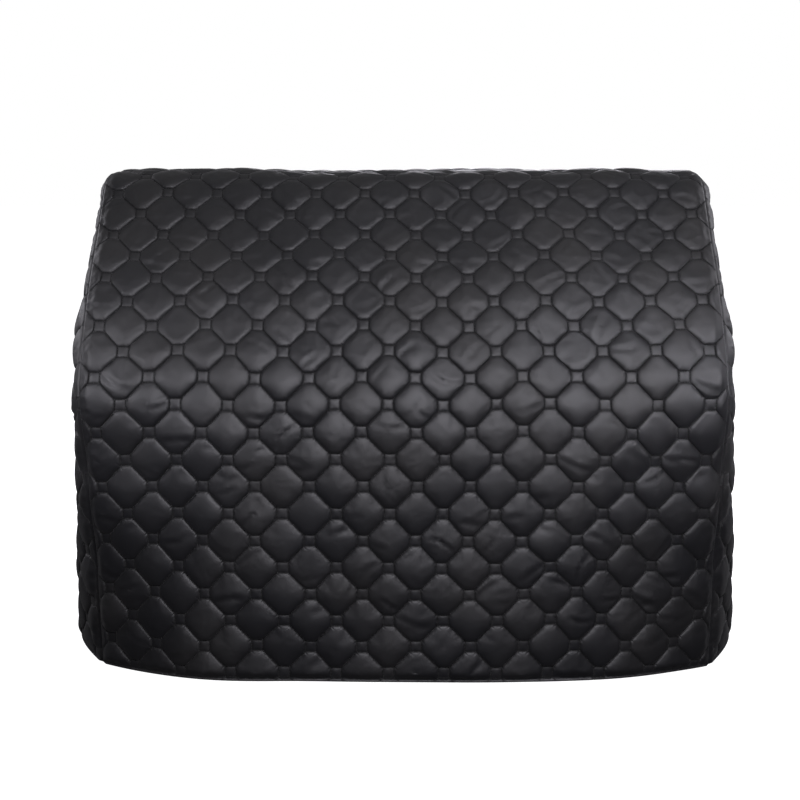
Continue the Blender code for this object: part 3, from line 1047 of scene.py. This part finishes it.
# %% Shader group: distance to the stitched lines
def stitched_lines_group():
    """Distance to the nearest stitched line, and the distance along it, from flat places in metres."""
    group, given, made = new_group(
        "stitched_lines",
        [("Flat", VECTOR, None), ("Across", FLOAT, PITCH_ACROSS), ("Along", FLOAT, PITCH_ALONG),
         ("Square", FLOAT, SQUARE_SIDE)],
        ["Distance", "Run", "In Square"])
    do = Maths(group)
    split = group.nodes.new("ShaderNodeSeparateXYZ")
    group.links.new(given["Flat"], split.inputs[0])
    # The pattern is folded into one quarter of its repeat.
    folded = []
    for axis, pitch in (("X", "Across"), ("Y", "Along")):
        turns = do("DIVIDE", split.outputs[axis], given[pitch])
        beyond = do("SUBTRACT", turns, do("ROUND", turns))
        folded.append(do("ABSOLUTE", do("MULTIPLY", beyond, given[pitch])))
    # A place beyond the quarter's diagonal is turned about the quarter's middle.
    halves = [do("MULTIPLY", given[pitch], 0.5) for pitch in ("Across", "Along")]
    share = do("ADD", *[do("DIVIDE", value, half) for value, half in zip(folded, halves)])
    far = do("GREATER_THAN", share, 1.0)
    places = []
    for value, half in zip(folded, halves):
        turned = do("SUBTRACT", half, do("MULTIPLY", value, 2.0))
        places.append(do("ADD", value, do("MULTIPLY", far, turned)))
    # The nearest line is a side of the square or, outside it, the slanting line from its corner.
    half_square = do("MULTIPLY", given["Square"], 0.5)
    past = [do("SUBTRACT", place, half_square) for place in places]
    furthest = do("MAXIMUM", *past)
    inside = do("LESS_THAN", furthest, 0.0)
    beyond = [do("POWER", do("MAXIMUM", value, 0.0), 2.0) for value in past]
    to_square = do("MAXIMUM", do("SQRT", do("ADD", *beyond)), do("MULTIPLY", furthest, -1.0))
    slanting = do("MULTIPLY", do("ABSOLUTE", do("SUBTRACT", *past)), math.sqrt(0.5))
    group.links.new(do("MINIMUM", to_square, do("ADD", slanting, inside)), made["Distance"])
    group.links.new(do("MULTIPLY", do("ADD", *places), math.sqrt(0.5)), made["Run"])
    group.links.new(inside, made["In Square"])
    return group


STITCHED_LINES = stitched_lines_group()
print("nodes that find the stitched lines:", len(STITCHED_LINES.nodes))

# %% Shader group: rumpled cloth
SLOW_SCALE = 0.22
RUMPLES_START = 0.38
RUMPLE_DISTORTION = 0.5


def rumple_group():
    """Heights in metres of soft rumples that run with the cloth, and a slow mask for gloss and tone."""
    group, given, made = new_group(
        "rumpled_cloth",
        [("Place", VECTOR, None), ("Rumple Size", FLOAT, 0.040), ("Rumple Height", FLOAT, 0.0022)],
        ["Height", "Slow"])
    do = Maths(group)
    size = do("DIVIDE", 1.0, given["Rumple Size"])

    def noise(scale, distortion):
        texture = group.nodes.new("ShaderNodeTexNoise")
        texture.inputs["Detail"].default_value = 1.0
        texture.inputs["Distortion"].default_value = distortion
        group.links.new(given["Place"], texture.inputs["Vector"])
        group.links.new(do("MULTIPLY", size, scale), texture.inputs["Scale"])
        return texture.outputs["Fac"]

    slow = noise(SLOW_SCALE, 0.0)
    rumples = do("MULTIPLY", noise(1.0, RUMPLE_DISTORTION), do.above(slow, RUMPLES_START, MASK_GAIN))
    group.links.new(do("MULTIPLY", rumples, given["Rumple Height"]), made["Height"])
    group.links.new(slow, made["Slow"])
    return group


RUMPLED_CLOTH = rumple_group()
print("nodes that rumple the cloth:", len(RUMPLED_CLOTH.nodes))

# %% Shader group: cloth drawn in by stitches
UNEVEN_SCALE = 70.0
CRIMPS_START = 0.42
CRIMP_GAIN = 6.0


def crimp_group():
    """Heights in metres of the small ridges that stitches pull into cloth, from place along a line."""
    group, given, made = new_group(
        "stitch_crimps",
        [("Distance", FLOAT, 0.0), ("Run", FLOAT, 0.0), ("Crimp Length", FLOAT, 0.012),
         ("Crimp Reach", FLOAT, 0.013), ("Crimp Height", FLOAT, 0.0007)],
        ["Height"])
    do = Maths(group)
    noise = group.nodes.new("ShaderNodeTexNoise")
    noise.noise_dimensions = "1D"
    noise.inputs["Scale"].default_value = UNEVEN_SCALE
    group.links.new(given["Run"], noise.inputs["W"])
    uneven = noise.outputs["Fac"]
    turns = do("ADD", do("DIVIDE", given["Run"], given["Crimp Length"]), do("MULTIPLY", uneven, 2.0))
    wave = do("SINE", do("MULTIPLY", turns, 2 * math.pi))
    share = do("SUBTRACT", 1.0, do("DIVIDE", given["Distance"], given["Crimp Reach"]), clamp=True)
    here = do("MULTIPLY", do("POWER", share, 2.0), do.above(uneven, CRIMPS_START, CRIMP_GAIN))
    fading = do("MULTIPLY", here, given["Crimp Height"])
    group.links.new(do("MULTIPLY", wave, fading), made["Height"])
    return group


STITCH_CRIMPS = crimp_group()
print("nodes that crimp the cloth beside a line:", len(STITCH_CRIMPS.nodes))

# %% Shader group: plain weave
def weave_group():
    """Heights in metres of a plain weave, from flat places in metres."""
    group, given, made = new_group(
        "plain_weave",
        [("Flat", VECTOR, None), ("Yarn Pitch", FLOAT, 0.0007), ("Yarn Height", FLOAT, 0.00003)],
        ["Height"])
    do = Maths(group)
    split = group.nodes.new("ShaderNodeSeparateXYZ")
    group.links.new(given["Flat"], split.inputs[0])
    turns = [do("DIVIDE", split.outputs[axis], given["Yarn Pitch"]) for axis in "XY"]
    yarns = do("MULTIPLY", *[do("SINE", do("MULTIPLY", turn, math.pi)) for turn in turns])
    group.links.new(do("MULTIPLY", yarns, given["Yarn Height"]), made["Height"])
    return group


PLAIN_WEAVE = weave_group()
print("nodes that weave the cloth:", len(PLAIN_WEAVE.nodes))

# %% The quilted cloth's material
CLOTH_BLACK = (0.0062, 0.0062, 0.0076, 1.0)
WORN_BLACK = (0.0094, 0.0090, 0.0096, 1.0)
# Painted shade: within VALLEY_WIDTH of each stitched line the base colour turns to this near-black, where the
# groove lies in shadow.
PAINTED_VALLEY_SHADE = (0.0015, 0.0015, 0.0017, 1.0)
VALLEY_WIDTH = 0.0029
CLOTH_ROUGHNESS = 0.53
UNEVEN_GLOSS = 0.16
DULL_LINES = 0.4
WORN_START = 0.42
EVEN_SQUARES = 0.8
SHEEN = 0.05
SHEEN_ROUGHNESS = 0.4


def new_material(name):
    """A material with nodes, its tree and its Principled shader."""
    material = bpy.data.materials.new(name)
    material.use_nodes = True
    return material, material.node_tree, material.node_tree.nodes["Principled BSDF"]


def bumped(tree, shader, height, strength, distance):
    """Tilts a shader's surface by a height."""
    bump = tree.nodes.new("ShaderNodeBump")
    bump.inputs["Strength"].default_value = strength
    bump.inputs["Distance"].default_value = distance
    tree.links.new(height, bump.inputs["Height"])
    tree.links.new(bump.outputs["Normal"], shader.inputs["Normal"])


def quilted_cloth(name, roughness):
    """Black satin cloth: its lines come from the flat pattern, its rumples from the place in space."""
    material, tree, shader = new_material(name)
    do = Maths(tree)
    flat = tree.nodes.new("ShaderNodeUVMap")
    flat.uv_map = "flat"
    place = tree.nodes.new("ShaderNodeTexCoord")

    def grouped(group, **inputs):
        node = tree.nodes.new("ShaderNodeGroup")
        node.node_tree = group
        for label, source in inputs.items():
            tree.links.new(source, node.inputs[label])
        return node.outputs

    def mixed(factor, first, second):
        mix = tree.nodes.new("ShaderNodeMix")
        mix.data_type = "RGBA"
        tree.links.new(factor, mix.inputs["Factor"])
        for socket, value in (("A", first), ("B", second)):
            if isinstance(value, tuple):
                mix.inputs[socket].default_value = value
            else:
                tree.links.new(value, mix.inputs[socket])
        return mix.outputs["Result"]

    lines = grouped(STITCHED_LINES, Flat=flat.outputs["UV"])
    rumple = grouped(RUMPLED_CLOTH, Place=place.outputs["Object"])
    crimps = grouped(STITCH_CRIMPS, Distance=lines["Distance"], Run=lines["Run"])
    weave = grouped(PLAIN_WEAVE, Flat=flat.outputs["UV"])

    open_cloth = do("MULTIPLY", lines["Distance"], 1 / VALLEY_WIDTH, clamp=True)
    worn = mixed(do.above(rumple["Slow"], WORN_START, MASK_GAIN), CLOTH_BLACK, WORN_BLACK)
    # Painted shade in the stitched valleys: the base colour darkens towards each line.
    colour = mixed(do("POWER", open_cloth, 2.0), PAINTED_VALLEY_SHADE, worn)
    tree.links.new(colour, shader.inputs["Base Color"])

    uneven = do("MULTIPLY", do("SUBTRACT", rumple["Slow"], 0.5), UNEVEN_GLOSS)
    dull_line = do("MULTIPLY", do("SUBTRACT", 1.0, open_cloth), DULL_LINES)
    tree.links.new(do("ADD", do("ADD", uneven, dull_line), roughness), shader.inputs["Roughness"])

    outside = do("SUBTRACT", 1.0, do("MULTIPLY", lines["In Square"], EVEN_SQUARES))
    drawn = do("MULTIPLY", crimps["Height"], outside)
    height = do("ADD", do("ADD", rumple["Height"], drawn), weave["Height"])
    bumped(tree, shader, height, strength=1.0, distance=1.0)
    shader.inputs["Sheen Weight"].default_value = SHEEN
    shader.inputs["Sheen Roughness"].default_value = SHEEN_ROUGHNESS
    return material


strip_cloth = quilted_cloth("strip_cloth", CLOTH_ROUGHNESS)
main_panel.data.materials.append(strip_cloth)
side_cloth = quilted_cloth("side_cloth", CLOTH_ROUGHNESS)
for piece in side_panels.values():
    piece.data.materials.append(side_cloth)
print("the cloth's material has", len(strip_cloth.node_tree.nodes), "nodes")

# %% [markdown]
# ## Stitches
#
# One thread of stitches follows every line of the pattern and the groove over the hem. There are
# thousands of them, all alike, which is work for Geometry Nodes: the tree turns the lines into curves,
# sets points along them a stitch apart, and puts a small slim ball of thread at each point, turned along
# the line. Its inputs are the sizes that a sewing machine is set to.

# %% The tree of the stitches
STITCH_PITCH = 0.0055
STITCH_LENGTH = 0.0043
THREAD_THICKNESS = 0.0009
STITCH_SHARES = (0.8, 1.1)


def stitches_tree():
    """Geometry nodes that lay one small ball of thread after another along the edges of a mesh."""
    tree = bpy.data.node_groups.new("stitches_along_lines", "GeometryNodeTree")
    for label, kind, value in (
            ("Lines", "NodeSocketGeometry", None), ("Stitch Pitch", "NodeSocketFloat", STITCH_PITCH),
            ("Stitch Length", "NodeSocketFloat", STITCH_LENGTH),
            ("Thread Thickness", "NodeSocketFloat", THREAD_THICKNESS),
            ("Seed", "NodeSocketInt", 0), ("Thread", "NodeSocketMaterial", None)):
        socket = tree.interface.new_socket(name=label, in_out="INPUT", socket_type=kind)
        if value is not None:
            socket.default_value = value
    tree.interface.new_socket(name="Stitches", in_out="OUTPUT", socket_type="NodeSocketGeometry")
    given, made = tree.nodes.new("NodeGroupInput"), tree.nodes.new("NodeGroupOutput")
    curves = tree.nodes.new("GeometryNodeMeshToCurve")
    spaced = tree.nodes.new("GeometryNodeResampleCurve")
    spaced.mode = "LENGTH"
    ball = tree.nodes.new("GeometryNodeMeshUVSphere")
    ball.inputs["Radius"].default_value = 0.5
    ball.inputs["Segments"].default_value = 4
    ball.inputs["Rings"].default_value = 2
    tangent = tree.nodes.new("GeometryNodeInputTangent")
    turned = tree.nodes.new("FunctionNodeAlignRotationToVector")
    turned.axis = "X"
    uneven = tree.nodes.new("FunctionNodeRandomValue")
    uneven.inputs[2].default_value, uneven.inputs[3].default_value = STITCH_SHARES
    longer = tree.nodes.new("ShaderNodeMath")
    longer.operation = "MULTIPLY"
    size = tree.nodes.new("ShaderNodeCombineXYZ")
    placed = tree.nodes.new("GeometryNodeInstanceOnPoints")
    real = tree.nodes.new("GeometryNodeRealizeInstances")
    finish = tree.nodes.new("GeometryNodeSetMaterial")
    for start, end in (
            (given.outputs["Lines"], curves.inputs["Mesh"]),
            (curves.outputs["Curve"], spaced.inputs["Curve"]),
            (given.outputs["Stitch Pitch"], spaced.inputs["Length"]),
            (spaced.outputs["Curve"], placed.inputs["Points"]),
            (ball.outputs["Mesh"], placed.inputs["Instance"]),
            (tangent.outputs["Tangent"], turned.inputs["Vector"]),
            (turned.outputs["Rotation"], placed.inputs["Rotation"]),
            (given.outputs["Seed"], uneven.inputs["Seed"]),
            (given.outputs["Stitch Length"], longer.inputs[0]),
            (uneven.outputs[1], longer.inputs[1]),
            (longer.outputs[0], size.inputs["X"]),
            (given.outputs["Thread Thickness"], size.inputs["Y"]),
            (given.outputs["Thread Thickness"], size.inputs["Z"]),
            (size.outputs[0], placed.inputs["Scale"]),
            (placed.outputs["Instances"], real.inputs["Geometry"]),
            (real.outputs["Geometry"], finish.inputs["Geometry"]),
            (given.outputs["Thread"], finish.inputs["Material"]),
            (finish.outputs["Geometry"], made.inputs["Stitches"])):
        tree.links.new(start, end)
    return tree


STITCHES = stitches_tree()
print("the tree of the stitches has", len(STITCHES.nodes), "nodes")

# %% The thread's material
THREAD_BLACK = (0.010, 0.010, 0.011, 1.0)
THREAD_ROUGHNESS = 0.42
STRANDS = 900.0
STRAND_WANDER = 1.5
STRAND_HEIGHT = 0.0002
STRAND_STRENGTH = 0.4


def thread_finish():
    """Polyester thread: fine twisted strands show as slanting ridges."""
    material, tree, shader = new_material("polyester_thread")
    shader.inputs["Base Color"].default_value = THREAD_BLACK
    shader.inputs["Roughness"].default_value = THREAD_ROUGHNESS
    place = tree.nodes.new("ShaderNodeTexCoord")
    strands = tree.nodes.new("ShaderNodeTexWave")
    strands.bands_direction = "DIAGONAL"
    strands.inputs["Scale"].default_value = STRANDS
    strands.inputs["Distortion"].default_value = STRAND_WANDER
    tree.links.new(place.outputs["Object"], strands.inputs["Vector"])
    bumped(tree, shader, strands.outputs["Fac"], strength=STRAND_STRENGTH, distance=STRAND_HEIGHT)
    return material


THREAD = thread_finish()
print("the thread's material is", THREAD.name)

# %% Sew
def sewn(name, path, seed):
    """The stitches along a path, as a plain mesh."""
    lines = added(name + "_lines", path)
    nodes = lines.modifiers.new("stitches", "NODES")
    nodes.node_group = STITCHES
    sockets = {item.name: item.identifier for item in STITCHES.interface.items_tree}
    for label, value in (
            ("Stitch Pitch", STITCH_PITCH), ("Stitch Length", STITCH_LENGTH),
            ("Thread Thickness", THREAD_THICKNESS), ("Seed", seed), ("Thread", THREAD)):
        nodes[sockets[label]] = value
    graph = bpy.context.evaluated_depsgraph_get()
    mesh = bpy.data.meshes.new_from_object(lines.evaluated_get(graph), depsgraph=graph)
    bpy.data.objects.remove(lines, do_unlink=True)
    mesh.name = name
    mesh.shade_smooth()
    print(name, "has", len(mesh.polygons), "triangles")
    return added(name, mesh)


main_thread = sewn("strip_stitches", main_path, 1)
side_threads = {name: sewn(name + "_stitches", path, 2) for name, path in side_paths.items()}

# %% [markdown]
# ## The studio
#
# Black cloth shows its shape by gloss alone, so what it reflects matters more than how much light falls
# on it. A soft light just above the camera and a smaller one nearer to the lid make each pillow bright
# above its middle and dark below. Two narrow lights reach the pillows at the front corners, which turn
# away from the camera, and three large ones stand at the sides and behind. The room's light comes mostly
# from above and hardly at all from the horizon. The floor and the backdrop stay pale for the camera;
# they are left out of the cloth's reflections, which a photographer does with black cards.

# %% Floor
FLOOR_GAP = 0.004
FLOOR_REACH = 40.0
FLOOR_ROUGHNESS = 0.9
PALE = (0.80, 0.80, 0.80, 1.0)
WHITE = (1.0, 1.0, 1.0, 1.0)


def studio_floor():
    """A wide pale floor just under the hem; it glows evenly, so that it is pale all over."""
    height = HEM_HEIGHT - FLOOR_GAP
    corners = [(-1, -1), (1, -1), (1, 1), (-1, 1)]
    mesh = bpy.data.meshes.new("studio_floor")
    mesh.from_pydata([(FLOOR_REACH * x, FLOOR_REACH * y, height) for x, y in corners], [], [(0, 1, 2, 3)])
    material, _, shader = new_material("pale_floor")
    shader.inputs["Base Color"].default_value = PALE
    shader.inputs["Roughness"].default_value = FLOOR_ROUGHNESS
    shader.inputs["Specular IOR Level"].default_value = 0.0
    shader.inputs["Emission Color"].default_value = WHITE
    shader.inputs["Emission Strength"].default_value = 1.0
    mesh.materials.append(material)
    made = added("studio_floor", mesh)
    made.visible_glossy = False
    made.visible_diffuse = False
    print("the floor lies at", round(height, 3))
    return made


floor = studio_floor()

# %% Room light
OVERHEAD = 0.36
HORIZON = 0.02
BACKDROP = 1.0
GATHERED_OVERHEAD = 1.5


def room_light(world):
    """Light that grows from the horizon to overhead; the camera sees a pale backdrop instead."""
    world.use_nodes = True
    tree = world.node_tree
    do = Maths(tree)
    direction = tree.nodes.new("ShaderNodeTexCoord")
    split = tree.nodes.new("ShaderNodeSeparateXYZ")
    tree.links.new(direction.outputs["Generated"], split.inputs[0])
    up = do("MAXIMUM", split.outputs["Z"], 0.0)
    strength = do("ADD", do("MULTIPLY", do("POWER", up, GATHERED_OVERHEAD), OVERHEAD - HORIZON), HORIZON)
    seen = tree.nodes.new("ShaderNodeLightPath").outputs["Is Camera Ray"]
    unseen = do("MULTIPLY", do("SUBTRACT", 1.0, seen), strength)
    background = tree.nodes["Background"]
    background.inputs["Color"].default_value = WHITE
    tree.links.new(do("ADD", do("MULTIPLY", seen, BACKDROP), unseen), background.inputs["Strength"])


world = bpy.data.worlds.new("studio")
room_light(world)
bpy.context.scene.world = world
bpy.context.scene.view_settings.view_transform = "Standard"
print("the room's light grows from", HORIZON, "at the horizon to", OVERHEAD, "overhead")

# %% Soft lights
LAMP_COLOUR = (1.0, 0.98, 1.06)
# Name, place, target, width and height, power in watts, and spread in degrees.
LIGHTS = (
    ("key_light", (0.80, -1.60, 0.90), (0.35, -0.45, -0.35), (1.1, 0.7), 13, 180),
    ("front_light", (0.20, -2.55, 0.28), (0.05, -0.45, -0.40), (1.3, 0.7), 48, 180),
    ("left_corner_light", (-1.75, -1.70, 0.10), (-0.72, -0.45, -0.46), (0.5, 0.4), 0.55, 22),
    ("right_corner_light", (1.80, -1.70, 0.10), (0.72, -0.45, -0.46), (0.5, 0.4), 0.55, 22),
    ("left_side_light", (-3.2, 0.90, 0.70), (-0.8, 0.0, -0.55), (1.2, 1.2), 32, 180),
    ("right_side_light", (3.2, 0.90, 0.70), (0.8, 0.0, -0.55), (1.2, 1.2), 32, 180),
    ("back_light", (0.60, 3.40, 0.70), (0.0, 0.20, -0.50), (2.0, 1.2), 75, 180),
)


def soft_light(name, place, target, size, power, spread):
    """A large lamp that faces its target and that the camera doesn't see."""
    lamp = bpy.data.lights.new(name, "AREA")
    lamp.color = LAMP_COLOUR
    lamp.shape = "RECTANGLE"
    lamp.size, lamp.size_y = size
    lamp.energy = power
    lamp.spread = math.radians(spread)
    light = added(name, lamp)
    light.location = place
    light.rotation_euler = (Vector(target) - Vector(place)).to_track_quat("-Z", "Y").to_euler()
    light.visible_camera = False


for row in LIGHTS:
    soft_light(*row)
print("soft lights:", len(LIGHTS))

# %% [markdown]
# ## The camera
#
# A camera straight in front, at the lid's height, looks slightly down at the cover from over three
# metres away. From there the slope widens towards the viewer, as it does for somebody who stands before
# the piano. A stronger tilt would make the sides lean together, so the rest of the framing is done by
# shifting the lens.

# %% Camera
FRAME_PIXELS = 800
SENSOR = 36.0
FOCAL_PIXELS = 1275
CENTRE_PIXEL = (409.5, 274.0)
CAMERA_PLACE = (0.014, -3.378, 0.005)
CAMERA_TILT = 0.08
camera_data = bpy.data.cameras.new("camera")
camera_data.sensor_width = SENSOR
camera_data.lens = FOCAL_PIXELS / FRAME_PIXELS * SENSOR
camera_data.shift_x = 0.5 - CENTRE_PIXEL[0] / FRAME_PIXELS
camera_data.shift_y = CENTRE_PIXEL[1] / FRAME_PIXELS - 0.5
camera = added("camera", camera_data)
camera.location = CAMERA_PLACE
camera.rotation_euler = (math.pi / 2 - CAMERA_TILT, 0.0, 0.0)
bpy.context.scene.camera = camera
print("the camera's lens is", round(camera_data.lens, 1), "mm")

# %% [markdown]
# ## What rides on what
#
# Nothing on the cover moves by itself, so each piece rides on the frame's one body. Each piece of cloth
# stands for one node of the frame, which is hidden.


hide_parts("main_panel")
for node, piece in side_panels.items():
    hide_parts(node)
for piece in (main_panel, main_thread, *side_panels.values(), *side_threads.values()):
    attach(piece, "root")
